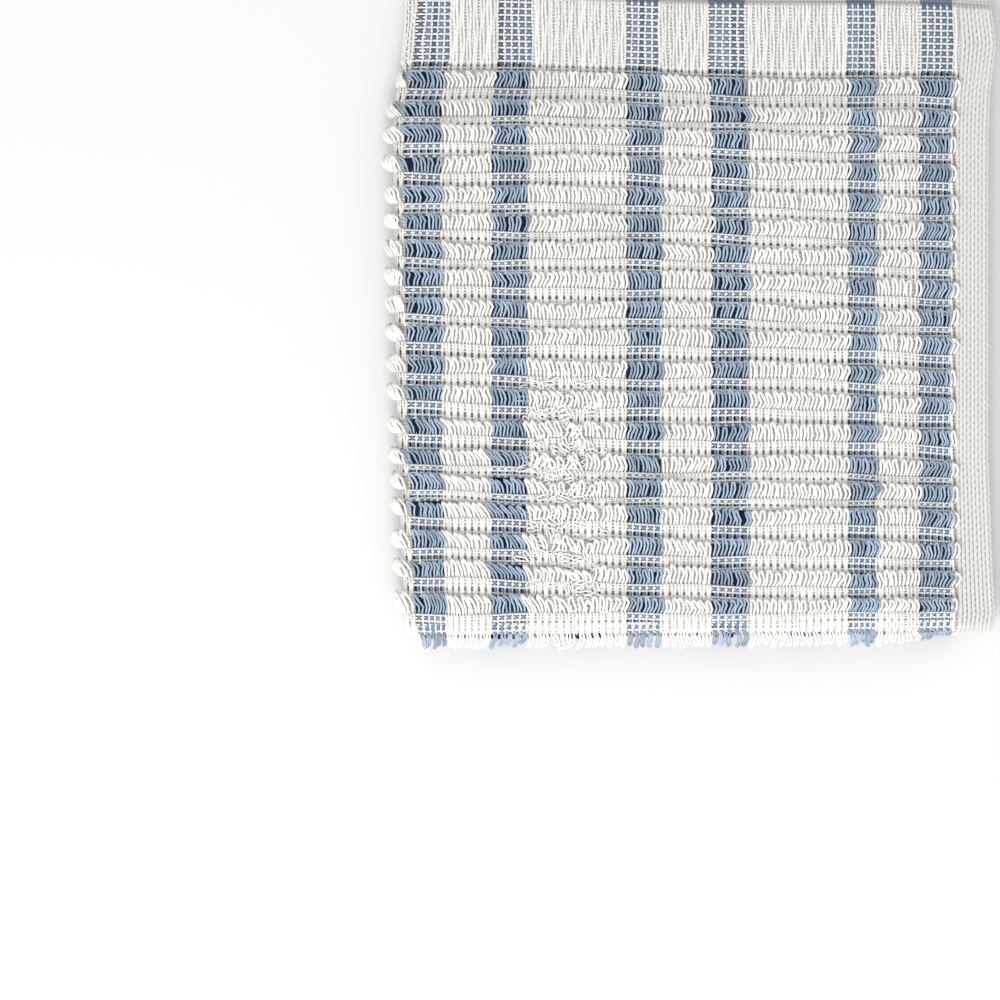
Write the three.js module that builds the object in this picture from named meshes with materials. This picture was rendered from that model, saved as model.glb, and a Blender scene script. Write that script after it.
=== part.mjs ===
// Folded loop-pile dishcloth: one piece of woven cotton with rows of terry loops across it,
// folded in half at a crease and then in half again like a book, lying flat on its back.
// Millimetres, +Z up, +X towards the side hems, +Y towards the end hems.
//
// The cloth is laid out flat first, as stations down its length and columns across its width.
// Each point is then carried through the two folds, settled at the open edges and laid a little askew.
import * as THREE from "three";

// The flat cloth
const CLOTH_WIDTH = 297; // side hem to side hem, across the stripes
const FRONT_LENGTH = 157.7; // end hem to crease, for the outer layers
const BACK_LENGTH = 161; // crease to end hem, for the inner layers, which reach a little further
const END_HEM = 16.75;
const SIDE_HEM = 8.3;
const HEM_STEP = 0.3; // run of the step from hem to ground
const CLOTH_LENGTH = FRONT_LENGTH + BACK_LENGTH;

// Thicknesses, measured from the reverse side
const GROUND = 1.0; // plain woven ground
const HEM = 1.7; // hem turned under and pressed
const HEM_RISE = HEM - GROUND;

// Rows of loops, each row a ridge across the cloth
const FIRST_ROW = 18.5; // crown line of the first row below the end hem
const ROW_PITCH = 7.265;
const ROW_COUNT = 39;
const ROW_DRIFT = [ // how far each row of the outer layers has moved down the cloth in the laundry
  0, 0.2, -0.5, -0.6, -0.1, -0.6, -0.9, -1.1, -0.9, -1.4, -0.8, -0.7, 0, 0.6, -0.2, -1.0, -0.4, -0.3,
];
const ROWS_PER_REVERSE_STATION = 3; // the reverse side is smooth, so it needs fewer stations
const SETTLING_ROWS = 4; // except near the end hems, where the layers sink

// One row of loops in section, from its crowns (at 0) to the ground behind its feet. Heights stand
// on the ground: on the open face, where a fold lets the loops stand free, and where they are pressed.
const LOOP_SECTION = [
  { at: 0.0, open: 0.15, free: 0.15, pressed: 0.15 },
  { at: 0.4, open: 2.0, free: 3.4, pressed: 1.9 },
  { at: 2.2, open: 1.6, free: 2.2, pressed: 1.9 },
  { at: 4.4, open: 0.2, free: 0.3, pressed: 0.2 },
];
const PRESSED_PILE = 1.9;
const ROW_UNEVENNESS = { share: 0.12, wave: 9, turnPerRow: 2.3 }; // how open loops rise and fall along a row
const ROW_WAVE = { height: 0.35, waveX: 17, waveY: 23 }; // how a row wanders up and down the cloth

// The folds
const REVERSE_GAP = 0.8; // between the reverse sides, inside the crease
const FACING_GAP = 0.4; // between the two piles that face each other, inside the book fold
const CREASE_RADIUS = REVERSE_GAP / 2;
const CREASE_HALF = (Math.PI / 2) * CREASE_RADIUS; // half the cloth that the crease takes up
const CREASE_STEPS = 6;
const BOOK_RADIUS = FACING_GAP / 2 + GROUND + PRESSED_PILE + CREASE_RADIUS;
const BOOK_HALF = (Math.PI / 2) * BOOK_RADIUS;
const BOOK_STEPS = 6;
const MIDDLE_HEIGHT = BOOK_RADIUS + CREASE_RADIUS + GROUND + PRESSED_PILE;
const FLOOR_REVERSE = GROUND + PRESSED_PILE; // height of the lowest layer's reverse side

// The open edges have no pile between them, so the layers sink there
const SETTLE_RUN = 18; // how far in from a hem the sinking starts
const FLOOR_SINK = 1.0; // of the lowest layer
const SINK_PER_HEIGHT = 0.385; // further sinking for each millimetre above it
const FACING_SINK = 1.2; // how much of the facing piles is squeezed out
const FREE_SINK = 0.6; // share by which the free loops are drawn in there

// How the cloth lies: the fold edge and the side hem wander, and the rows slope down to the right.
// up is measured from the crease, left and right are towards +X.
const EDGE_LIE = [
  { up: -3, left: 2.6, right: 0.9 },
  { up: 3, left: 1.8, right: 1.7 },
  { up: 20, left: 0.9, right: 0.9 },
  { up: 44, left: 0.1, right: 0.0 },
  { up: 85, left: -0.8, right: 0.0 },
  { up: 124, left: -1.2, right: 0.1 },
  { up: 136, left: -0.7, right: 0.5 },
  { up: 148, left: 0.4, right: 2.0 },
  { up: 160, left: 1.0, right: 0.4 },
];
const END_LIE = [ // how far the end hems are drawn towards +X, along them from the book fold
  { along: -4, shift: 1.7 },
  { along: 2, shift: 1.75 },
  { along: 23, shift: 1.6 },
  { along: 56, shift: -0.3 },
  { along: 78, shift: -0.6 },
  { along: 111, shift: 0 },
  { along: 129, shift: 0.9 },
  { along: 143, shift: 0 },
];
const END_LIE_FROM = 128; // where that starts, up from the crease
const END_LIE_FULL = 142;
const FOLD_EDGE_REACH = 14; // how far in the wandering of each edge fades away
const SIDE_EDGE_REACH = 16;
const ROW_SLOPE = { middle: 55, halfSpan: 75, drop: 1.6, creaseRise: 0.6, run: 12 };
const UNDULATION = { height: 0.35, waveX: 24, waveY: 31, turn: 1 };

// Columns across the pile, away from the folds and the hems
const UPPER_COLUMNS = [30, 62, 94];
const LOWER_COLUMNS = [42, 84];

const COTTON = { color: 0xe9e8e2, roughness: 0.95, metalness: 0 };

const { clamp, lerp, smoothstep } = THREE.MathUtils;
const square = (x) => x * x;

// A value from a table, between the two rows around it.
function fromTable(table, key, column, at) {
  const next = table.findIndex((row) => row[key] >= at);
  if (next === 0) return table[0][column];
  if (next < 0) return table[table.length - 1][column];
  const [low, high] = [table[next - 1], table[next]];
  const share = (at - low[key]) / (high[key] - low[key]);
  return lerp(low[column], high[column], share);
}

// Stations down the cloth, each with its height above the ground. The reverse side uses only some.
function downStations() {
  const even = (down, rise) => ({ down, row: 0, open: rise, free: rise, pressed: rise, reverse: true });
  const creaseStart = FRONT_LENGTH - CREASE_HALF;
  const creaseEnd = FRONT_LENGTH + CREASE_HALF;
  const stations = [];
  for (let row = 0; row < ROW_COUNT; row++) {
    const crowns = FIRST_ROW + row * ROW_PITCH + (ROW_DRIFT[row] ?? 0);
    const rowsIn = Math.min(row, ROW_COUNT - 1 - row);
    const needed = rowsIn < SETTLING_ROWS || rowsIn % ROWS_PER_REVERSE_STATION === 0;
    LOOP_SECTION.forEach((point, i) => {
      const reverse = needed && i === LOOP_SECTION.length - 1;
      stations.push({ ...point, row, down: crowns + point.at, reverse });
    });
  }
  const onCrease = [];
  for (let i = 0; i <= CREASE_STEPS; i++) {
    const down = lerp(creaseStart, creaseEnd, i / CREASE_STEPS);
    const height = (column) => fromTable(stations, "down", column, down);
    onCrease.push({
      down,
      row: (ROW_COUNT - 1) / 2,
      open: height("open"),
      free: height("free"),
      pressed: height("pressed"),
      reverse: true,
    });
  }
  const bare = LOOP_SECTION[0].open;
  stations.push(...onCrease);
  stations.push(even(0, HEM_RISE), even(END_HEM, HEM_RISE), even(END_HEM + HEM_STEP, bare));
  stations.push(even(CLOTH_LENGTH - END_HEM - HEM_STEP, bare));
  stations.push(even(CLOTH_LENGTH - END_HEM, HEM_RISE), even(CLOTH_LENGTH, HEM_RISE));
  return stations.sort((a, b) => a.down - b.down);
}

// Columns across the cloth, from the lower layers' side hem round the book fold to the upper layers'.
function acrossColumns() {
  const edge = CLOTH_WIDTH / 2;
  const hemLine = edge - SIDE_HEM;
  const settling = [hemLine - HEM_STEP - SETTLE_RUN, hemLine - HEM_STEP - SETTLE_RUN / 2];
  const hem = [hemLine - HEM_STEP, hemLine, edge];
  const upper = [...UPPER_COLUMNS, ...settling, ...hem];
  const lower = [...LOWER_COLUMNS, ...settling, ...hem].map((across) => -across).reverse();
  const fold = [];
  for (let i = 0; i <= BOOK_STEPS; i++) {
    fold.push(lerp(-BOOK_HALF, BOOK_HALF, i / BOOK_STEPS));
  }
  return [...lower, ...fold, ...upper];
}

// Angles through the two folds: 0 on the near side of the fold, pi on the far side.
const creaseAngle = (down) =>
  clamp((down - FRONT_LENGTH + CREASE_HALF) / CREASE_RADIUS, 0, Math.PI);
const bookAngle = (across) => clamp((BOOK_HALF - across) / BOOK_RADIUS, 0, Math.PI);
const farShare = (angle) => (1 - Math.cos(angle)) / 2;

// A point of the flat cloth, rise above its reverse side, after the crease and the book fold.
function folded(across, down, rise) {
  const crease = creaseAngle(down);
  const book = bookAngle(across);
  const offset = CREASE_RADIUS + rise;
  const flatDown = Math.abs(down - FRONT_LENGTH) - CREASE_HALF;
  const flatAcross = Math.abs(across) - BOOK_HALF;
  const radius = BOOK_RADIUS + offset * Math.cos(crease);
  return new THREE.Vector3(
    Math.max(flatAcross, 0) - radius * Math.sin(book),
    Math.max(flatDown, 0) - offset * Math.sin(crease),
    MIDDLE_HEIGHT + radius * Math.cos(book),
  );
}

// 0 inside the pile, 1 at the side and end hems, and the same for all the layers of the stack.
function settling(across, down) {
  const inFromSide = CLOTH_WIDTH / 2 - SIDE_HEM - HEM_STEP - Math.abs(across);
  const inFromEnd = FRONT_LENGTH - Math.abs(down - FRONT_LENGTH) - END_HEM - HEM_STEP;
  const side = 1 - smoothstep(inFromSide, 0, SETTLE_RUN);
  const end = 1 - smoothstep(inFromEnd, 0, SETTLE_RUN);
  return 1 - (1 - side) * (1 - end);
}

// Height of the loops at a station: free on the folds, pressed underneath and inside.
function loopHeight(station, across) {
  if (Math.abs(across) > CLOTH_WIDTH / 2 - SIDE_HEM - HEM_STEP / 2) return HEM_RISE;
  const hem = Math.min(station.down, CLOTH_LENGTH - station.down) <= END_HEM;
  if (hem) return HEM_RISE;
  const book = bookAngle(across);
  const crease = creaseAngle(station.down);
  const settled = settling(across, station.down);
  const { share, wave, turnPerRow } = ROW_UNEVENNESS;
  const uneven = 1 + share * Math.sin(across / wave + turnPerRow * station.row);
  const onFloor = station.pressed * (1 - (settled * FLOOR_SINK) / PRESSED_PILE);
  const facing = station.pressed * (1 - (settled * FACING_SINK) / PRESSED_PILE);
  const free = station.free * uneven * (1 - settled * FREE_SINK);
  const outer = lerp(station.open * uneven, onFloor, farShare(book));
  const outerOnFold = lerp(outer, free, square(Math.sin(book)));
  const either = lerp(outerOnFold, facing, farShare(crease));
  return lerp(either, free, square(Math.sin(crease)));
}

// Where a point of the folded cloth comes to lie: sunk at the open edges, uneven on top, and askew.
function lying(across, down, rise) {
  const point = folded(across, down, rise);
  const reverseHeight = folded(across, down, 0).z;
  const sink = FLOOR_SINK + (reverseHeight - FLOOR_REVERSE) * SINK_PER_HEIGHT;
  const waves =
    Math.sin(point.x / UNDULATION.waveX + UNDULATION.turn) * Math.sin(point.y / UNDULATION.waveY);
  const swell = UNDULATION.height * (1 + waves);
  const aloft = clamp((reverseHeight - FLOOR_REVERSE) / MIDDLE_HEIGHT, 0, 1);
  const z = point.z - settling(across, down) * sink + swell * aloft;

  const sideEdge = CLOTH_WIDTH / 2 - BOOK_HALF;
  const nearFold = 1 - smoothstep(point.x, -BOOK_RADIUS, FOLD_EDGE_REACH);
  const nearSide = smoothstep(point.x, sideEdge - SIDE_EDGE_REACH, sideEdge);
  const left = fromTable(EDGE_LIE, "up", "left", point.y) * nearFold;
  const right = fromTable(EDGE_LIE, "up", "right", point.y) * nearSide;
  const nearEnd = smoothstep(point.y, END_LIE_FROM, END_LIE_FULL);
  const drawn = fromTable(END_LIE, "along", "shift", point.x) * nearEnd;

  const along = (point.x - ROW_SLOPE.middle) / ROW_SLOPE.halfSpan;
  const drop = (ROW_SLOPE.drop + ROW_SLOPE.creaseRise) * smoothstep(point.y, 0, ROW_SLOPE.run);
  const wander = ROW_WAVE.height * smoothstep(point.y, 0, ROW_SLOPE.run);
  const wave = wander * Math.sin(point.x / ROW_WAVE.waveX + point.y / ROW_WAVE.waveY);
  const x = point.x + left + right + drawn;
  return [x, point.y - along * (drop - ROW_SLOPE.creaseRise) + wave, z];
}

// One closed body: the looped face, the reverse face, and the walls that join their edges.
function clothGeometry() {
  const stations = downStations();
  const columns = acrossColumns();
  const positions = [];
  const indices = [];
  const point = (across, down, rise) => positions.push(...lying(across, down, rise)) / 3 - 1;
  const triangle = (a, b, c, flip) => indices.push(...(flip ? [a, c, b] : [a, b, c]));
  const quad = (a, b, c, d, flip) => {
    triangle(a, b, c, flip);
    triangle(a, c, d, flip);
  };
  const face = (rows, flip) => {
    for (let i = 0; i + 1 < rows.length; i++) {
      for (let j = 0; j + 1 < columns.length; j++) {
        quad(rows[i][j], rows[i + 1][j], rows[i + 1][j + 1], rows[i][j + 1], flip);
      }
    }
  };

  const looped = stations.map((station) =>
    columns.map((across) => point(across, station.down, GROUND + loopHeight(station, across))),
  );
  const sparse = stations.flatMap((station, i) => (station.reverse ? [i] : []));
  const reverse = sparse.map((i) => columns.map((across) => point(across, stations[i].down, 0)));
  face(looped, false);
  face(reverse, true);

  const sideWall = (column, flip) => {
    for (let k = 0; k + 1 < sparse.length; k++) {
      for (let i = sparse[k]; i < sparse[k + 1]; i++) {
        triangle(looped[i][column], looped[i + 1][column], reverse[k][column], flip);
      }
      const corner = looped[sparse[k + 1]][column];
      triangle(reverse[k][column], corner, reverse[k + 1][column], flip);
    }
  };
  sideWall(columns.length - 1, false);
  sideWall(0, true);

  const endWall = (top, bottom, flip) => {
    for (let j = 0; j + 1 < columns.length; j++) {
      quad(top[j], top[j + 1], bottom[j + 1], bottom[j], flip);
    }
  };
  endWall(looped[0], reverse[0], false);
  endWall(looped[looped.length - 1], reverse[reverse.length - 1], true);

  const geometry = new THREE.BufferGeometry();
  geometry.setAttribute("position", new THREE.Float32BufferAttribute(positions, 3));
  geometry.setIndex(indices);
  return geometry;
}

// The origin is under the middle of the folded cloth, on the surface it lies on.
function standOnOrigin(geometry) {
  geometry.computeBoundingBox();
  const { min, max } = geometry.boundingBox;
  geometry.translate(-(min.x + max.x) / 2, -(min.y + max.y) / 2, -min.z);
  geometry.computeVertexNormals();
  return geometry;
}

const cloth = new THREE.Mesh(
  standOnOrigin(clothGeometry()),
  new THREE.MeshStandardMaterial(COTTON),
);
cloth.name = "cloth";

const dishcloth = new THREE.Group();
dishcloth.add(cloth);

export default dishcloth;
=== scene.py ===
from functools import partial

import bpy
import numpy as np
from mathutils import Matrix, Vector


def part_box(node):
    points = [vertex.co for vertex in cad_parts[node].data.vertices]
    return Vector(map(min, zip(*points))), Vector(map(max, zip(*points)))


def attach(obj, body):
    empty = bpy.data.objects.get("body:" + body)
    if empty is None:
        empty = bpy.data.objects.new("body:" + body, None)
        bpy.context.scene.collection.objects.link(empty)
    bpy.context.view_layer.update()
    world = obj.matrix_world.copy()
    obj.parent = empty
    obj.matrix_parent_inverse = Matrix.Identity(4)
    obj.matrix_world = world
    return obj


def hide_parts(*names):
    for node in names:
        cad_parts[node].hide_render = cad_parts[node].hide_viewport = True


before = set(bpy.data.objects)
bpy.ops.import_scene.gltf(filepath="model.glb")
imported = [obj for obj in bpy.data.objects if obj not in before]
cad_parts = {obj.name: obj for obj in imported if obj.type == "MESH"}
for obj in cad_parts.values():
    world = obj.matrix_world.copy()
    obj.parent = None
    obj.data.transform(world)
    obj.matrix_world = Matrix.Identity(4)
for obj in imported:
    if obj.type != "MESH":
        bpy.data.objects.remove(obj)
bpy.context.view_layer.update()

# The ground of the cloth: one panel of cotton, hemmed all round, that the yarns of the weave and the
# loops lie on. It is folded up at a crease, reverse sides together, and then closed like a book.
MM = 0.001
WIDTH, FRONT, BACK = 297.0, 157.7, 161.0
LENGTH = FRONT + BACK
END_HEM, SIDE_HEM = 16.75, 8.3
EDGE = WIDTH / 2
HEM_LINE = EDGE - SIDE_HEM
GROUND, HEM = 1.0, 1.7
HEM_STEP, SETTLE_RUN = 0.3, 18
FLOOR_SINK, SINK_PER_HEIGHT = 1.0, 0.385
PRESSED, OPEN, FREE = 1.9, 2.0, 2.75
CREASE_RADIUS = 0.4
CREASE_HALF = np.pi / 2 * CREASE_RADIUS
BOOK_RADIUS = 0.2 + GROUND + PRESSED + CREASE_RADIUS
BOOK_HALF = np.pi / 2 * BOOK_RADIUS
MIDDLE = BOOK_RADIUS + CREASE_RADIUS + GROUND + PRESSED
EDGE_LIE = np.array([
    (-3, 2.6, 0.9), (3, 1.8, 1.7), (20, 0.9, 0.9), (44, 0.1, 0.0), (85, -0.8, 0.0),
    (124, -1.2, 0.1), (136, -0.7, 0.5), (148, 0.4, 2.0), (160, 1.0, 0.4),
])
END_LIE = np.array([
    (-4, 1.7), (2, 1.75), (23, 1.6), (56, -0.3), (78, -0.6), (111, 0), (129, 0.9), (143, 0),
])


def ease(x, low, high):
    """0 below low, 1 above high, and the cubic 3t^2 - 2t^3 between them."""
    t = np.clip((x - low) / (high - low), 0, 1)
    return t * t * (3 - 2 * t)


def crease_angle(down):
    """The turn round the crease, 0 on the outer layers and pi on the inner ones."""
    return np.clip((down - FRONT + CREASE_HALF) / CREASE_RADIUS, 0, np.pi)


def book_angle(across):
    """The turn round the book fold, 0 on the upper layers and pi on the lower ones."""
    return np.clip((BOOK_HALF - across) / BOOK_RADIUS, 0, np.pi)


def settled(across, down):
    """0 inside the pile and 1 at the hems, where the layers have no loops between them."""
    side = 1 - ease(HEM_LINE - HEM_STEP - np.abs(across), 0, SETTLE_RUN)
    end = 1 - ease(FRONT - np.abs(down - FRONT) - END_HEM - HEM_STEP, 0, SETTLE_RUN)
    return 1 - (1 - side) * (1 - end)


def folded(across, down, rise):
    """Half turns of the flat cloth round the crease and then the book fold, straight beyond them.
    rise is the height above the reverse side, and adds to the radius of each turn."""
    offset = CREASE_RADIUS + rise
    radius = BOOK_RADIUS + offset * np.cos(crease_angle(down))
    x = np.maximum(np.abs(across) - BOOK_HALF, 0) - radius * np.sin(book_angle(across))
    y = np.maximum(np.abs(down - FRONT) - CREASE_HALF, 0) - offset * np.sin(crease_angle(down))
    return x, y, MIDDLE + radius * np.cos(book_angle(across))


def lie(across, down, rise):
    """Folded points as they come to rest, in millimetres: sunk where settled, swollen a little by two
    sine waves, drawn in or out along the two long edges and along the end hems, and with the rows
    sloping to the right."""
    across, down, rise = np.broadcast_arrays(*(np.asarray(v, float) for v in (across, down, rise)))
    x, y, z = folded(across, down, rise)
    above = folded(across, down, 0.0)[2] - GROUND - PRESSED
    swell = 0.35 * (1 + np.sin(x / 24 + 1) * np.sin(y / 31)) * np.clip(above / MIDDLE, 0, 1)
    z = z - settled(across, down) * (FLOOR_SINK + SINK_PER_HEIGHT * above) + swell
    side = EDGE - BOOK_HALF
    left = np.interp(y, EDGE_LIE[:, 0], EDGE_LIE[:, 1]) * (1 - ease(x, -BOOK_RADIUS, 14))
    right = np.interp(y, EDGE_LIE[:, 0], EDGE_LIE[:, 2]) * ease(x, side - 16, side)
    slope = (x - 55) / 75 * (2.2 * ease(y, 0, 12) - 0.6)
    wave = 0.35 * ease(y, 0, 12) * np.sin(x / 17 + y / 23)
    end = np.interp(x, END_LIE[:, 0], END_LIE[:, 1]) * ease(y, 128, 142)
    return np.stack([x + left + right + end, y - slope + wave, z], -1)


# The lie is measured from the folds, so the hem corners of the CAD box give where they are.
rim_down = np.linspace(0, LENGTH, 400)
rim_across = np.linspace(-EDGE, EDGE, 400)
rim = np.concatenate([lie(EDGE, rim_down, GROUND), lie(rim_across, LENGTH, GROUND)])
SHIFT = np.array([*(np.array(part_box("cloth")[1])[:2] / MM - rim.max(0)[:2]), 0])


def place(across, down, rise):
    """Where a point of the flat cloth is in the frame, in metres."""
    return (lie(across, down, rise) + SHIFT) * MM


def unit(v):
    """Vectors of length 1."""
    return v / np.maximum(np.linalg.norm(v, axis=-1, keepdims=True), 1e-12)


def outward(across, down, rise):
    """The direction square to the sheet at a point of the flat cloth, away from the reverse side."""
    return unit(place(across, down, rise + 0.1) - place(across, down, rise - 0.1))


# Stripes of dyed pile, as bands across the cloth: five loops to a stripe, in pairs of stripes.
STRIPES = np.array([
    (-139.8, -130.9), (-106.6, -97.8), (-85.3, -76.1), (-51.9, -43.1), (-30.6, -21.4),
    (3.6, 11.9), (23.9, 32.9), (57.6, 66.4), (78.9, 88.1), (113.1, 120.1), (130.9, 138.9),
])

# Rows of pile, by where their crowns lie down the cloth; each row has drifted a little in the laundry.
ROW_PITCH, FIRST_ROW, LOOP_REACH = 7.265, 18.5, 4.4
ROW_DRIFT = np.array([
    0, 0.2, -0.5, -0.6, -0.1, -0.6, -0.9, -1.1, -0.9, -1.4,
    -0.8, -0.7, 0.0, 0.6, -0.2, -1.0, -0.4, -0.3, 0, 0,
])
ROW_CROWNS = FIRST_ROW + ROW_PITCH * np.arange(20) + ROW_DRIFT


def in_stripe(across, soft=0.1):
    """1 inside a stripe and 0 outside, over a narrow edge."""
    edge = np.abs(np.asarray(across)[..., None] - STRIPES.mean(1)) - np.ptp(STRIPES, 1) / 2
    return (1 - ease(edge, -soft, soft)).max(-1)


def yarn_cover(across, down):
    """1 where the yarns of the weave are modelled over the ground, which lies lower there and is painted in
    colours of shade.
    """
    return ease(across, -6, -3) * ease(FRONT + 4 - down, 0, 1)


def hole_line(down):
    """1 along the line of open holes just above the crowns of each row, and 0 away from it; the ground under
    them is painted dark there as shadow.
    """
    return np.exp(-(((down[..., None] - ROW_CROWNS + 0.85) / 0.55) ** 4)).max(-1)


def mesh_piece(name, points, faces):
    """A smooth mesh from arrays of points and of four-cornered faces, riding on the cloth's body."""
    mesh = bpy.data.meshes.new(name)
    mesh.vertices.add(len(points))
    mesh.vertices.foreach_set("co", points.astype(np.float32).ravel())
    mesh.loops.add(faces.size)
    mesh.loops.foreach_set("vertex_index", faces.astype(np.int32).ravel())
    mesh.polygons.add(len(faces))
    mesh.polygons.foreach_set("loop_start", np.arange(0, faces.size, faces.shape[1], dtype=np.int32))
    mesh.polygons.foreach_set("use_smooth", np.ones(len(faces), bool))
    mesh.update(calc_edges=True)
    piece = bpy.data.objects.new(name, mesh)
    bpy.context.scene.collection.objects.link(piece)
    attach(piece, "root")
    return piece


def keep_value(piece, name, values):
    """A number at each point of a mesh, for its material."""
    held = piece.data.attributes.new(name, "FLOAT", "POINT")
    held.data.foreach_set("value", np.asarray(values, np.float32).ravel())


def keep_map(piece, name, at):
    """A UV map from a value at each corner of each face."""
    layer = piece.data.uv_layers.new(name=name)
    layer.uv.foreach_set("vector", np.asarray(at, np.float32).ravel())


def grid_faces(index):
    """The four corners of each cell of a grid of point numbers, in order round the cell."""
    return np.stack([index[:-1, :-1], index[1:, :-1], index[1:, 1:], index[:-1, 1:]], -1).reshape(-1, 4)


def panel_piece():
    """The ground as a grid of stations down and columns across, with a looped face and a reverse face.
    Both faces close in a half round at the rim: the thickness there follows a quarter circle."""
    stripe_edges = (STRIPES[:, :, None] + [-0.12, 0.12]).ravel()
    rim_steps = np.array([0, 0.12, 0.4, 0.9])
    across = np.concatenate([
        np.linspace(-HEM_LINE, HEM_LINE, 40), stripe_edges, np.linspace(-BOOK_HALF, BOOK_HALF, 15),
        EDGE - rim_steps, rim_steps - EDGE, [-HEM_LINE - 0.4, HEM_LINE + 0.4],
    ])
    down = np.concatenate([
        np.linspace(END_HEM + 0.5, LENGTH - END_HEM - 0.5, 60), rim_steps, LENGTH - rim_steps,
        np.linspace(FRONT - CREASE_HALF, FRONT + CREASE_HALF, 11), [END_HEM, LENGTH - END_HEM],
        (ROW_CROWNS[:19, None] - 0.85 + [-0.8, -0.5, 0.5, 0.8]).ravel(),
    ])
    a, d = np.meshgrid(np.unique(across.round(3)), np.unique(down.round(3)))
    hem = np.maximum(np.abs(a) > HEM_LINE, np.minimum(d, LENGTH - d) <= END_HEM)
    top = np.where(hem, HEM, GROUND) - 0.08 - 0.47 * yarn_cover(a, d)
    inside = np.clip(np.minimum(EDGE - np.abs(a), np.minimum(d, LENGTH - d)) / 0.8, 0, 1)
    half = top / 2 * np.sqrt(np.clip(1 - (1 - inside) ** 2, 0.02, 1))
    points = np.concatenate([place(a, d, top / 2 + half), place(a, d, top / 2 - half)]).reshape(-1, 3)
    looped = np.arange(a.size).reshape(a.shape)
    reverse = looped + a.size
    walls = [
        np.stack([looped[:, -1], reverse[:, -1]], 1), np.stack([reverse[:, 0], looped[:, 0]], 1),
        np.stack([reverse[-1], looped[-1]]).T[::-1], np.stack([looped[0], reverse[0]]).T[::-1],
    ]
    faces = np.concatenate([
        grid_faces(looped), grid_faces(reverse)[:, ::-1],
        grid_faces(walls[0]), grid_faces(walls[1]),
        grid_faces(walls[2])[:, ::-1], grid_faces(walls[3])[:, ::-1],
    ])
    piece = mesh_piece("ground_panel", points, faces)
    flat = np.tile(np.stack([a, d], -1).reshape(-1, 2), (2, 1))
    keep_map(piece, "Cloth", flat[faces.ravel()])
    keep_value(piece, "stripe", np.tile(in_stripe(a), (2, 1)))
    # Painted shade: where the weave is modelled over the ground the panel takes darker colours, and along the
    # lines of holes it is painted dark as shadow.
    cover, nothing = yarn_cover(a, d), np.zeros(a.shape)
    keep_value(piece, "covered", np.concatenate([cover, nothing]))
    keep_value(piece, "open", np.concatenate([cover * hole_line(d) * (a < HEM_LINE), nothing]))
    return piece


def math_node(tree, operation, a, b=None):
    """The result of one sum in a node tree, of one or two numbers or sockets."""
    node = tree.nodes.new("ShaderNodeMath")
    node.operation = operation
    for i, v in enumerate((a, b)):
        if isinstance(v, (int, float)):
            node.inputs[i].default_value = v
        elif v is not None:
            tree.links.new(v, node.inputs[i])
    return node.outputs[0]


def weave_group():
    """Plain weave from a map in millimetres: ends and picks go over and under in turn, so the height is
    the product of two sine waves. The tone is painted shade, darker where the weave lies low, and it adds
    fine slubs from noise."""
    group = bpy.data.node_groups.new("plain_weave", "ShaderNodeTree")
    for name, low in (("End pitch", 0.95), ("Pick pitch", 0.93), ("Slub", 0.2)):
        group.interface.new_socket(name, in_out="INPUT", socket_type="NodeSocketFloat").default_value = low
    group.interface.new_socket("Map", in_out="INPUT", socket_type="NodeSocketVector")
    for name in ("Height", "Tone"):
        group.interface.new_socket(name, in_out="OUTPUT", socket_type="NodeSocketFloat")
    nodes, links = group.nodes, group.links
    start, end = nodes.new("NodeGroupInput"), nodes.new("NodeGroupOutput")
    maths = partial(math_node, group)
    split = nodes.new("ShaderNodeSeparateXYZ")
    links.new(start.outputs["Map"], split.inputs[0])
    end_turn = maths("DIVIDE", split.outputs[0], start.outputs["End pitch"])
    pick_turn = maths("DIVIDE", split.outputs[1], start.outputs["Pick pitch"])
    end_wave = maths("SINE", maths("MULTIPLY", end_turn, np.pi))
    pick_wave = maths("SINE", maths("MULTIPLY", pick_turn, np.pi))
    height = maths("ABSOLUTE", maths("MULTIPLY", end_wave, pick_wave))
    slub = nodes.new("ShaderNodeTexNoise")
    slub.inputs["Scale"].default_value = 0.9
    slub.inputs["Detail"].default_value = 3
    links.new(start.outputs["Map"], slub.inputs["Vector"])
    uneven = maths("MULTIPLY", maths("SUBTRACT", slub.outputs["Fac"], 0.5), start.outputs["Slub"])
    links.new(height, end.inputs["Height"])
    # Painted shade: the tone falls towards 0.65 where the weave lies low.
    tone = maths("ADD", maths("ADD", maths("MULTIPLY", height, 0.35), 0.65), uneven)
    links.new(tone, end.inputs["Tone"])
    return group


weave = weave_group()


def cotton(name, sheen):
    """A matte cotton material with the soft sheen of loose fibres, and its tree's nodes and links."""
    material = bpy.data.materials.new(name)
    material.use_nodes = True
    shader = material.node_tree.nodes["Principled BSDF"]
    shader.inputs["Roughness"].default_value = 0.9
    shader.inputs["Specular IOR Level"].default_value = 0.2
    shader.inputs["Sheen Weight"].default_value = sheen
    shader.inputs["Sheen Roughness"].default_value = 0.6
    return material, material.node_tree.nodes, material.node_tree.links, shader


def blended(nodes, links, kind, share, first, second):
    """first where share is 0 and second where it is 1, mixed or multiplied; each a colour or a socket."""
    mix = nodes.new("ShaderNodeMix")
    mix.data_type = "RGBA"
    mix.blend_type = kind
    sockets = [mix.inputs[0], mix.inputs[6], mix.inputs[7]]
    for socket, v in zip(sockets, (share, first, second)):
        if hasattr(v, "is_output"):
            links.new(v, socket)
        else:
            socket.default_value = v
    return mix.outputs[2]


def mesh_value(nodes, name):
    """A number kept at the points of a mesh."""
    node = nodes.new("ShaderNodeAttribute")
    node.attribute_name = name
    return node.outputs["Fac"]


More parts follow.
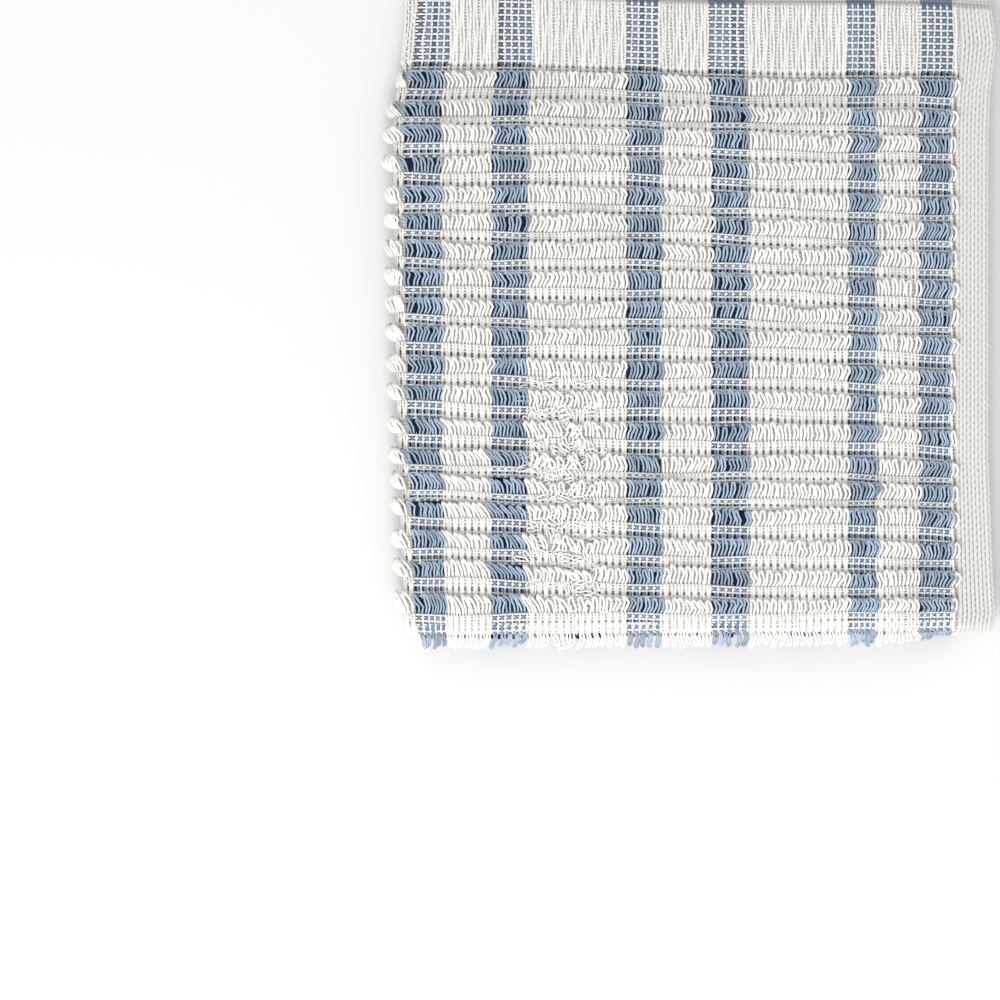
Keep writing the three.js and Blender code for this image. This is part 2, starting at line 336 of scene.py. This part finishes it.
def ground_material():
    """Plain-woven ground: undyed, and dyed blue in the stripes where it is bare. Where yarns are modelled
    over it
    its colour is painted shade: a little darker under undyed yarns, nearly black navy under the stripes, and
    dark grey as painted shadow in the holes of the weave.
    """
    material, nodes, links, shader = cotton("woven_ground", 0.0)
    at = nodes.new("ShaderNodeUVMap")
    at.uv_map = "Cloth"
    woven = nodes.new("ShaderNodeGroup")
    woven.node_tree = weave
    links.new(at.outputs[0], woven.inputs["Map"])
    plain_weave, dyed_weave = (0.90, 0.89, 0.84, 1), (0.30, 0.37, 0.49, 1)
    # Painted shade: the colours under the yarns, in the holes and under the dyed pile stand in for the shade
    # there.
    under_yarns, painted_hole_shadow = (0.88, 0.87, 0.83, 1), (0.14, 0.14, 0.13, 1)
    painted_shade_under_dyed = (0.020, 0.034, 0.062, 1)
    bare = blended(nodes, links, "MIX", mesh_value(nodes, "stripe"), plain_weave, dyed_weave)
    shaded = blended(nodes, links, "MIX", mesh_value(nodes, "open"), under_yarns, painted_hole_shadow)
    # deep is the painted shade under the yarns: dark grey in the holes, near-black navy under the stripes.
    deep = blended(nodes, links, "MIX", mesh_value(nodes, "stripe"), shaded, painted_shade_under_dyed)
    colour = blended(nodes, links, "MIX", mesh_value(nodes, "covered"), bare, deep)
    toned = blended(nodes, links, "MULTIPLY", 1.0, colour, woven.outputs["Tone"])
    links.new(toned, shader.inputs["Base Color"])
    bump = nodes.new("ShaderNodeBump")
    bump.inputs["Strength"].default_value = 0.7
    bump.inputs["Distance"].default_value = 0.0004
    links.new(woven.outputs["Height"], bump.inputs["Height"])
    links.new(bump.outputs[0], shader.inputs["Normal"])
    return material


panel = panel_piece()
panel.data.materials.append(ground_material())
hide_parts("cloth")

# The yarns of the ground: ends run down the cloth and picks run across it, over and under in turn.
# Every second end carries the pile, and is dyed in the stripes; the ends between and all picks are undyed.
LOOP_PITCH = 1.75
chance = np.random.default_rng(7)


def pile_ends():
    """Where the pile ends are across the cloth: five to each stripe, and evenly between the stripes."""
    walls = np.concatenate([[-HEM_LINE + 0.4], STRIPES.ravel(), [HEM_LINE - 0.4]])
    counts = np.maximum(np.round(np.diff(walls) / LOOP_PITCH).astype(int), 1)
    counts[1::2] = 5
    spans = [w + (v - w) * (np.arange(n) + 0.5) / n for w, v, n in zip(walls, walls[1:], counts)]
    return np.concatenate(spans)


PILE_ENDS = pile_ends()
UPPER_ENDS = PILE_ENDS[PILE_ENDS > -3.5]


def yarns(name, paths, lift, breadth, depth, sides, shade):
    """Tubes along many paths at once, paths being yarns by points by xyz in metres. Round each point goes
    an ellipse: depth along the direction lift, made square to the path, and breadth along the third. Each
    tube draws in to a point at both ends, and is closed there by a small fan of faces."""
    count, steps = paths.shape[:2]
    along = unit(np.gradient(paths, axis=1))
    first = unit(lift - (lift * along).sum(-1, keepdims=True) * along)
    second = np.cross(along, first)
    turn = np.linspace(0, 2 * np.pi, sides, endpoint=False)
    taper = np.ones(steps)
    taper[[0, -1]] = 0.05
    wide = (np.broadcast_to(breadth, (count, steps)) * taper * MM)[..., None, None]
    deep = (np.broadcast_to(depth, (count, steps)) * taper * MM)[..., None, None]
    high = first[:, :, None] * np.cos(turn)[:, None]
    broad = second[:, :, None] * np.sin(turn)[:, None]
    points = (paths[:, :, None] + deep * high + wide * broad).reshape(-1, 3)

    wall_step = np.arange(steps - 1)[:, None, None] + np.array([0, 0, 1, 1])
    wall_side = np.arange(sides)[None, :, None] + np.array([0, 1, 1, 0])
    wall_step, wall_side = (v.reshape(-1, 4) for v in np.broadcast_arrays(wall_step, wall_side))
    odd = np.arange(1, sides - 2, 2)
    fan = np.stack([0 * odd, odd, odd + 1, odd + 2], -1)
    step = np.concatenate([wall_step, 0 * fan, 0 * fan + steps - 1])
    side = np.concatenate([wall_side, fan[:, ::-1], fan])
    yarn = np.arange(count)[:, None, None]
    faces = (yarn * steps * sides + step * sides + side % sides).reshape(-1, 4)
    piece = mesh_piece(name, points, faces)

    run = np.cumsum(np.linalg.norm(np.diff(paths, axis=1, prepend=paths[:, :1]), axis=-1), axis=1) / MM
    length = run[:, step]
    around = np.broadcast_to(side / sides, length.shape)
    keep_map(piece, "Yarn", np.stack([length, around], -1))
    cells = int(np.ceil(np.sqrt(count)))
    cell = np.stack(np.divmod(np.arange(count), cells), -1)[:, None, None]
    in_cell = np.stack([np.broadcast_to(step / (steps - 1), length.shape), around], -1)
    keep_map(piece, "OFBake", (cell + 0.04 + 0.92 * in_cell) / cells)
    keep_value(piece, "shade", np.broadcast_to(shade[:, None, None], (count, steps, sides)))
    return piece


def twist_group():
    """Spun yarn from its own map: two plies wind round it once a millimetre and a half, as a sine of length
    plus turn, painted a little darker between the plies as shade. Noise on the object gives the loose fibres
    and slubs, and the side turned to the ground is painted darker as shade, by the cosine of the turn."""
    group = bpy.data.node_groups.new("spun_yarn", "ShaderNodeTree")
    for name, low in (("Lay", 1.5), ("Fibre", 0.3), ("Shade", 0.5), ("Painted underside shade", 0.3)):
        group.interface.new_socket(name, in_out="INPUT", socket_type="NodeSocketFloat").default_value = low
    for name in ("Height", "Tone"):
        group.interface.new_socket(name, in_out="OUTPUT", socket_type="NodeSocketFloat")
    nodes, links = group.nodes, group.links
    start, end = nodes.new("NodeGroupInput"), nodes.new("NodeGroupOutput")
    maths = partial(math_node, group)
    at = nodes.new("ShaderNodeUVMap")
    at.uv_map = "Yarn"
    split = nodes.new("ShaderNodeSeparateXYZ")
    links.new(at.outputs[0], split.inputs[0])
    lays = maths("DIVIDE", split.outputs[0], start.outputs["Lay"])
    winding = maths("ADD", lays, maths("MULTIPLY", split.outputs[1], 2))
    ply = maths("ABSOLUTE", maths("SINE", maths("MULTIPLY", winding, np.pi)))
    place_node = nodes.new("ShaderNodeTexCoord")
    fibre = nodes.new("ShaderNodeTexNoise")
    fibre.inputs["Scale"].default_value = 2600
    fibre.inputs["Detail"].default_value = 2
    links.new(place_node.outputs["Object"], fibre.inputs["Vector"])
    loose = maths("MULTIPLY", maths("SUBTRACT", fibre.outputs["Fac"], 0.5), start.outputs["Fibre"])
    links.new(maths("ADD", ply, loose), end.inputs["Height"])
    # Painted shade: the tone is lower where the plies dip.
    spun = maths("ADD", maths("MULTIPLY", ply, 0.16), 0.84)
    # Painted shade: the side turned away from the lift is darker, by the cosine of the turn.
    facing = maths("COSINE", maths("MULTIPLY", split.outputs[1], 2 * np.pi))
    turned = maths("MULTIPLY", maths("SUBTRACT", facing, 1.0), start.outputs["Painted underside shade"])
    toned = maths("ADD", maths("MULTIPLY", spun, start.outputs["Shade"]), turned)
    links.new(maths("ADD", toned, loose), end.inputs["Tone"])
    return group


spun_yarn = twist_group()


def yarn_material(name, dark, light, fibre, painted_underside_shade, sheen):
    """Spun cotton between a dark and a light colour, by each yarn's shade, which differs at random, by the
    turn of its plies with painted shade between them, and by painted shade on the side turned to the ground.
    """
    material, nodes, links, shader = cotton(name, sheen)
    spun = nodes.new("ShaderNodeGroup")
    spun.node_tree = spun_yarn
    spun.inputs["Fibre"].default_value = fibre
    spun.inputs["Painted underside shade"].default_value = painted_underside_shade
    links.new(mesh_value(nodes, "shade"), spun.inputs["Shade"])
    links.new(blended(nodes, links, "MIX", spun.outputs["Tone"], dark, light), shader.inputs["Base Color"])
    bump = nodes.new("ShaderNodeBump")
    bump.inputs["Strength"].default_value = 0.5
    bump.inputs["Distance"].default_value = 0.00012
    links.new(spun.outputs["Height"], bump.inputs["Height"])
    links.new(bump.outputs[0], shader.inputs["Normal"])
    return material


# Each yarn goes towards its dark colour on the side turned to the ground, as painted shade; the dyed yarn's
# near-black dark colour shows mostly there.
undyed = yarn_material(
    "undyed_yarn", (0.66, 0.65, 0.61, 1), (0.91, 0.905, 0.875, 1), fibre=0.25, painted_underside_shade=0.12, sheen=0.3)
undyed_ground = yarn_material(
    "undyed_ground_yarn", (0.72, 0.71, 0.67, 1), (0.98, 0.98, 0.95, 1), fibre=0.25, painted_underside_shade=0.08, sheen=0.3)
# The undyed ends between the pile ends in the stripes are painted pale blue, as light thrown back onto them
# from the dyed pile.
painted_blue_bounce_yarn = yarn_material(
    "painted_blue_bounce_ground_yarn", (0.70, 0.75, 0.80, 1), (0.90, 0.95, 1.0, 1), fibre=0.25, painted_underside_shade=0.08, sheen=0.2)
dyed = yarn_material(
    "dyed_yarn", (0.010, 0.022, 0.046, 1), (0.49, 0.61, 0.77, 1), fibre=0.4, painted_underside_shade=0.45, sheen=0.03)
dyed_ground = yarn_material(
    "dyed_ground_yarn", (0.06, 0.085, 0.13, 1), (0.29, 0.36, 0.48, 1), fibre=0.35, painted_underside_shade=0.15, sheen=0.03)

dyed_ends = in_stripe(UPPER_ENDS) > 0.5
mid_share = np.where(dyed_ends[:-1], 0.5, chance.uniform(0.36, 0.54, len(dyed_ends) - 1))
MID_ENDS = UPPER_ENDS[:-1] + mid_share * np.diff(UPPER_ENDS)
HEADER_PICKS = np.arange(0.5, FIRST_ROW + 0.6, 0.82)
STRIP_PICKS = np.array([-0.6, 0.1, 0.78, 1.46, 2.14, 2.82, 3.5, 4.1])
CREASE_PICKS = FRONT + np.array([-2.4, -1.75, -1.1, -0.45, -0.15, 0.1, 0.35, 0.6])
SHOWN_PICKS = np.array([1, 2, 3, 5, 6])
row_feet = ROW_CROWNS[:19] + LOOP_REACH
stretch = (ROW_CROWNS[1:] - row_feet) / (ROW_PITCH - LOOP_REACH)
STRIPS = np.concatenate([row_feet[:, None] + STRIP_PICKS * stretch[:, None], CREASE_PICKS[None]])


def waver(across, row):
    """How far a row strays down the cloth, as two sine waves along it, each row with its own phase."""
    stray = 0.22 * np.sin(across / 11 + 2.1 * row) + 0.14 * np.sin(across / 4.3 + 3.7 * row)
    return stray * (np.asarray(row) < 19)


def header_level(down):
    """Height of the weave above the reverse side: on the doubled hem, and on the single ground below it."""
    return 0.85 + (HEM - GROUND) * (1 - ease(down, END_HEM - 0.3, END_HEM + 0.5))


def tubes(name, across, down, rise, breadth, depth, sides, shades, slot, material):
    """Yarns that lie in the sheet, each with its own shade."""
    shade = chance.uniform(*shades, len(rise))
    paths, lift = place(across, down, rise), outward(across, down, rise)
    piece = yarns(name, paths, lift, breadth, depth, sides, shade)
    piece.data.materials.append(material)
    return piece


def half_steps(picks):
    """Two points to a pick, for picks along the last axis."""
    steps = np.linspace(0, picks.shape[-1] - 1, 2 * picks.shape[-1] - 1)
    low = np.floor(steps).astype(int)
    high = np.minimum(low + 1, picks.shape[-1] - 1)
    return steps, picks[..., low] + (picks[..., high] - picks[..., low]) * (steps - low)


def ends_pieces(kind, ends, first_up, strip_breadth, header_breadth, lift, swing, slot, material):
    """Ends in the strips of ground between the rows and in the front end hem: the height is a cosine that is
    up on every second pick. The pile end and the end beside it draw together along the lines of holes, and
    the hem's ends turn down over its edge."""
    towards = np.where(first_up > 0, -0.17, 0.17)[:, None]
    steps = np.arange(STRIPS.shape[1])
    wave = swing[:, None] * np.cos(np.pi * (steps + first_up[:, None]))
    shape = (len(STRIPS), len(ends), len(steps))
    drawn = towards * ease(steps, 2.2, 4) * (1 - ease(steps, 4, 6))
    across = np.broadcast_to(ends[:, None] + drawn, shape)
    down = STRIPS[:, None] + waver(across, np.arange(len(STRIPS))[:, None, None])
    rise = np.broadcast_to(0.82 + lift[:, None] + wave, shape)
    flat = (v.reshape(-1, len(steps)) for v in (across, down, rise))
    strips = tubes(f"strip_ends_{kind}", *flat, strip_breadth, 0.28, 4, (0.5, 1.0), slot, material)
    steps, down = half_steps(HEADER_PICKS)
    wave = swing[:, None] * np.cos(np.pi * (steps + first_up[:, None]))
    wave = wave + header_level(down) + lift[:, None] - 0.1
    down = np.concatenate([[-0.12, -0.1, 0.12], down])
    rise = np.concatenate([np.broadcast_to([0.3, 0.75, 1.15], (len(ends), 3)), wave], 1)
    stray = 0.13 * np.sin(down / 1.9 + 2.2 * ends[:, None]) + 0.1 * np.sin(down / 4.1 + ends[:, None] / 3)
    across = ends[:, None] + stray * ease(down, 0, 3) + towards * ease(down, END_HEM - 1, END_HEM + 0.4)
    flat = (across, down[None], rise)
    header = tubes(f"header_ends_{kind}", *flat, header_breadth, 0.3, 4, (0.15, 0.65), slot, material)
    return [strips, header]


def picks_piece(name, picks, rows, odd, level, breadth, sink):
    """Picks across the cloth, from round the book fold to the side hem: up and down by turns from end to end,
    down where the end over it is up, and deeper by sink where all the yarns are undyed."""
    across = np.sort(np.concatenate([UPPER_ENDS, MID_ENDS, [HEM_LINE + 0.3]]))
    steps = np.arange(len(across))
    wave = 0.2 * np.cos(np.pi * (steps + odd[:, None]))
    rise = level[:, None] - wave - sink * (1 - in_stripe(across, 0.6))
    down = picks[:, None] + waver(across, rows[:, None])
    return tubes(name, across[None], down, rise, breadth, 0.25, 4, (0.75, 1.0), "white_cotton", undyed_ground)


plain_pile = UPPER_ENDS[~dyed_ends]
fine_ends = MID_ENDS[in_stripe(MID_ENDS, 0.6) > 0.5]
plain_ends = np.concatenate([plain_pile, MID_ENDS[in_stripe(MID_ENDS, 0.6) <= 0.5]])
first_up = (np.arange(len(plain_ends)) >= len(plain_pile)) * 1.0
plain = 1 - in_stripe(plain_ends, 0.6)
thread = chance.uniform(0.36, 0.46, len(plain))
none, ones = np.zeros(dyed_ends.sum()), np.ones(len(fine_ends))
shown_header = np.flatnonzero(np.abs(HEADER_PICKS - END_HEM) > 0.4)
header_picks = HEADER_PICKS[shown_header]
strip_picks = STRIPS[:, SHOWN_PICKS].ravel()
strip_rows = np.repeat(np.arange(len(STRIPS)), len(SHOWN_PICKS))
strip_odd = np.tile(SHOWN_PICKS % 2, len(STRIPS))
weave_pieces = [
    *ends_pieces("dyed", UPPER_ENDS[dyed_ends], none, 0.46, 0.58,
                 none + 0.03, none + 0.2, "blue_cotton", dyed_ground),
    *ends_pieces("plain", plain_ends, first_up, np.tile(thread, len(STRIPS))[:, None], thread[:, None],
                 0.12 * plain, 0.2 - 0.12 * plain, "white_cotton", undyed_ground),
    *ends_pieces("fine", fine_ends, ones, 0.27, 0.27,
                 0 * ones, 0.2 * ones, "white_cotton", painted_blue_bounce_yarn),
    picks_piece("header_picks", header_picks, 19 + 0 * header_picks, shown_header % 2,
                header_level(header_picks) - 0.12, 0.27, 0.22),
    picks_piece("strip_picks", strip_picks, strip_rows, strip_odd,
                np.full(len(strip_rows), 0.8), 0.25, 0.1),
]

# The side hem: the selvedge turned under and sewn down, so it shows as close ribs that run down the edge,
# with one rounded rib along the rim of each layer.
RIB_PITCH = 0.95


def ribs_piece():
    """Ribs as tubes down the hem, beaded by a sine of the length where the picks cross them."""
    across = HEM_LINE + 0.6 + RIB_PITCH * np.arange(9)
    down = np.broadcast_to(np.arange(-0.1, FRONT + 1.2, 0.5), (len(across), 318))
    bead = np.sin(2 * np.pi * down / 1.86 + np.pi * np.arange(len(across))[:, None])
    at = np.minimum(across[:, None] + 0.05 * bead, EDGE - 0.3)
    rim = np.where(np.arange(len(across)) == len(across) - 1, 0.45, 0)[:, None]
    rise = 1.38 - rim - 0.5 * (1 - ease(down, -0.1, 0.6)) + 0.04 * bead
    return tubes("hem_ribs", at, down, rise, 0.52 + 0.06 * bead, 0.24, 6, (0.0, 0.15), "white_cotton", undyed)


weave_pieces.append(ribs_piece())

# The pile: loops of soft spun cotton that stand in rows across the cloth and have been brushed up
# towards the end hem. Each loop is a hairpin, two legs from the ground and a round crown.
LOOP_UP = np.array([0, 0.15, 0.38, 0.64, 0.87, 1.0, 0.87, 0.64, 0.38, 0.15, 0])
LOOP_SIDE = np.array([-0.75, -0.85, -0.95, -1.02, -0.8, 0, 0.8, 1.02, 0.95, 0.85, 0.75])
LOOP_RISE = np.array([0, 0.55, 0.88, 1.0, 0.96, 0.84, 0.96, 1.0, 0.88, 0.55, 0])
LOOP_SWELL = 0.88 + 0.3 * LOOP_UP ** 2
LOOP_LENGTH = LOOP_REACH - 0.1
CREASE_ROW = 19


def pile_height(across, down):
    """Height of the pile above the ground: open on top, free round the folds, and pressed underneath and
    inside."""
    book, crease, low = book_angle(across), crease_angle(down), settled(across, down)
    under = PRESSED - low * 1.0
    outer = OPEN + (under - OPEN) * (1 - np.cos(book)) / 2
    free = FREE * (1 - 0.6 * low)
    outer = outer + (free - outer) * np.sin(book) ** 2
    either = outer + (PRESSED - low * 1.2 - outer) * (1 - np.cos(crease)) / 2
    return either + (free - either) * np.sin(crease) ** 2


def drift(across, row, waves):
    """Sine waves along a row, each row with its own phase, so that neighbouring loops move together."""
    return sum(
        size * np.sin(across / length + 2.4 * row * (i + 1.3) + i)
        for i, (size, length) in enumerate(waves)
    )


def lean_of(across, down):
    """How far to the right the crowns lean, in millimetres, and how tangled the loops are, from 0 to 1."""
    low_left = ease(down, 92, 108) * (1 - ease(across, 34, 46))
    top_left = (1 - ease(down, 24, 40)) * (1 - ease(across, 14, 24))
    parted = ease(across, 32, 37) * (1 - ease(across, 49, 55)) * ease(down, 88, 100)
    low_left = low_left * (0.25 + 0.75 * ease(across, 4, 18))
    lean = -1.6 * low_left - 1.7 * top_left - 0.35 * (1 - ease(across, 0, 14)) + 0.35 * ease(across, 60, 100)
    return lean, parted * 0.5


def loops_piece(name, at, rows, thick, half_width, sides, material):
    """Hairpins: up is the share of the way from the feet to the crown, side the share of half the width, and
    rise the share of the pile's height. Lean grows with up. One leg lies higher than the other, so that
    neighbours overlap like shingles. The row in the crease stands straight out of it."""
    count = len(at)
    crowns = ROW_CROWNS[rows]
    lean, tangle = lean_of(at, crowns)
    wild = chance.uniform(0, 1, count) < tangle
    lean = lean * chance.uniform(0.85, 1.15, count) + drift(at, rows, ((0.3, 3.1), (0.4, 7.7)))
    lean = lean + chance.normal(0, 0.12, count) + wild * chance.normal(0, 1.5, count)
    lean = np.where(rows == CREASE_ROW, 0.5 * lean, lean)
    tall = np.clip(chance.normal(1.0, 0.08, count), 0.8, np.where(book_angle(at) > 2, 1.0, 1.2))
    length = LOOP_LENGTH * (chance.normal(1.0, 0.04, count) + drift(at, rows, ((0.045, 4.3), (0.04, 11.0))))
    length = length * np.where(wild, chance.uniform(0.7, 1.0, count), 1)
    length = length * (1 - 0.04 * np.minimum(np.abs(lean), 3))
    half = half_width * chance.uniform(0.9, 1.1, count) * np.where(wild, 1.2, 1)
    half = half * np.where(at > 3.4, 0.6 + 0.4 * ease(at, 3.4, 7), 1)
    sway = drift(at, rows, ((0.26, 5.0), (0.16, 2.3))) + chance.normal(0, 0.08, count)
    bow = chance.normal(0.5, 0.15, count) + drift(at, rows, ((0.25, 8.3),))
    foot = crowns + LOOP_REACH + waver(at, rows) + chance.normal(0, 0.06, count)
    across = (at[:, None] + half[:, None] * LOOP_SIDE + lean[:, None] * LOOP_UP ** 1.15
              + sway[:, None] * np.sin(2 * np.pi * LOOP_UP) + bow[:, None] * np.sin(np.pi * LOOP_UP))
    down = foot[:, None] - length[:, None] * LOOP_UP
    high = pile_height(across, down) * tall[:, None] - thick * 1.2 + GROUND
    tilt = chance.normal(0.16, 0.12, count) + drift(at, rows, ((0.2, 6.1),))
    tilt = (np.clip(tilt, -0.35, 0.35) * (book_angle(at) < 1))[:, None]
    rise = 0.75 + LOOP_RISE * (high - 0.2 * np.abs(tilt) - 0.75) + LOOP_SIDE * LOOP_UP * tilt
    hanging = (rows == CREASE_ROW)[:, None]
    reach = np.where(book_angle(at) > 1.6, 1.8, 4.0) * tall * pile_height(at, FRONT) / FREE
    droop = FRONT + 0.1 + 0.12 * chance.uniform(0, 1, count)[:, None] * LOOP_UP
    down = np.where(hanging, droop, down)
    across = np.where(hanging, across - 0.15 * half[:, None] * LOOP_SIDE, across)
    rise = np.where(hanging, 0.7 + reach[:, None] * np.minimum(1.08 * LOOP_UP, 1), rise)
    paths = place(across, down, rise)
    face = np.cross(paths[:, 5] - (paths[:, -1] + paths[:, 0]) / 2, paths[:, -1] - paths[:, 0])
    away = outward(at, crowns, np.ones(count)) * (rows < CREASE_ROW)[:, None]
    away[:, 2] += 0.3 * np.cos(book_angle(at))
    face = unit(face) * np.sign((face * away).sum(-1, keepdims=True))
    lift = np.broadcast_to(face[:, None], paths.shape)
    shade = chance.uniform(0.65, 1.0, count)
    piece = yarns(name, paths, lift, thick * LOOP_SWELL, thick * LOOP_SWELL, sides, shade)
    piece.data.materials.append(material)
    return piece


def loop_places(columns, rows):
    """Every crossing of the pile ends and the rows, each a little out of place."""
    at, row = np.meshgrid(columns, rows)
    return (at + chance.normal(0, 0.08, at.shape)).ravel(), row.ravel()


UNDER_ENDS = PILE_ENDS[PILE_ENDS <= -3.5]
FOLD_ENDS = np.arange(-7.5, 3.4, 0.65)
upper = UPPER_ENDS[UPPER_ENDS > 3.4]
under = UNDER_ENDS[UNDER_ENDS < -8]
for name, columns, is_dyed, thick, half_width, sides in (
    ("loops_white", upper, False, 0.35, 0.52, 6),
    ("fold_loops", FOLD_ENDS, False, 0.37, 0.4, 6),
    ("loops_blue", upper, True, 0.31, 0.46, 6),
    ("under_loops_white", under, False, 0.36, 0.52, 4),
    ("under_loops_blue", under, True, 0.33, 0.5, 4),
):
    at, rows = loop_places(columns[(in_stripe(columns) > 0.5) == is_dyed], np.arange(20))
    slot, material = ("blue_cotton", dyed) if is_dyed else ("white_cotton", undyed)
    loops_piece(name, at, rows, thick, half_width, sides, material)


def stray_loops():
    """Loops that have been parted and lie flat in all directions over the ground between them: each
    hairpin is turned by its own angle, and lies low."""
    count = 220
    turn = chance.uniform(-2.2, 2.2, count)[:, None]
    at, crowns = chance.uniform(33, 51, count)[:, None], chance.uniform(93, 154, count)[:, None]
    length = chance.uniform(2.2, 4.2, count)[:, None] * LOOP_UP
    side = chance.uniform(0.4, 0.7, count)[:, None] * LOOP_SIDE
    across = at + length * np.sin(turn) + side * np.cos(turn)
    down = np.minimum(crowns - length * np.cos(turn) + side * np.sin(turn), FRONT - 1)
    rise = 0.9 + LOOP_RISE * chance.uniform(0.35, 1.0, count)[:, None]
    return tubes("stray_loops", across, down, rise, 0.22, 0.18, 6, (0.85, 1.0), "white_cotton", undyed)


stray_loops()

# The table it lies on, the light and the camera: straight down, as wide as the photograph's frame.
PIXEL = 0.25 * MM
FOLD_PIXEL, CREASE_PIXEL = 417.6, 627.4
floor_mesh = bpy.data.meshes.new("floor")
floor_mesh.from_pydata([(-4, -4, 0), (4, -4, 0), (4, 4, 0), (-4, 4, 0)], [], [(0, 1, 2, 3)])
floor = bpy.data.objects.new("floor", floor_mesh)
bpy.context.scene.collection.objects.link(floor)
floor_material = bpy.data.materials.new("pale_floor")
floor_material.use_nodes = True
surface = floor_material.node_tree.nodes["Principled BSDF"]
surface.inputs["Base Color"].default_value = (0.77, 0.77, 0.77, 1)
surface.inputs["Roughness"].default_value = 0.9
floor_mesh.materials.append(floor_material)

world = bpy.data.worlds.new("soft_studio")
world.use_nodes = True
world.node_tree.nodes["Background"].inputs["Color"].default_value = (1.0, 1.0, 1.0, 1)
world.node_tree.nodes["Background"].inputs["Strength"].default_value = 0.83
bpy.context.scene.world = world

lamp = bpy.data.lights.new("softbox", "AREA")
lamp.size = 0.7
lamp.energy = 9
key = bpy.data.objects.new("softbox", lamp)
key.location = (-0.25, -0.75, 0.85)
key.rotation_euler = (np.radians(41), 0, np.radians(-18))
bpy.context.scene.collection.objects.link(key)

lens = bpy.data.cameras.new("camera")
camera = bpy.data.objects.new("camera", lens)
distance = 1.1
lens.sensor_width = 36
lens.lens = 36 * distance / (1000 * PIXEL)
centre = np.array([(500 - FOLD_PIXEL) * PIXEL, (CREASE_PIXEL - 500) * PIXEL]) + SHIFT[:2] * MM
camera.location = (*centre, distance + 0.012)
bpy.context.scene.collection.objects.link(camera)
bpy.context.scene.camera = camera
bpy.context.scene.view_settings.view_transform = "Standard"
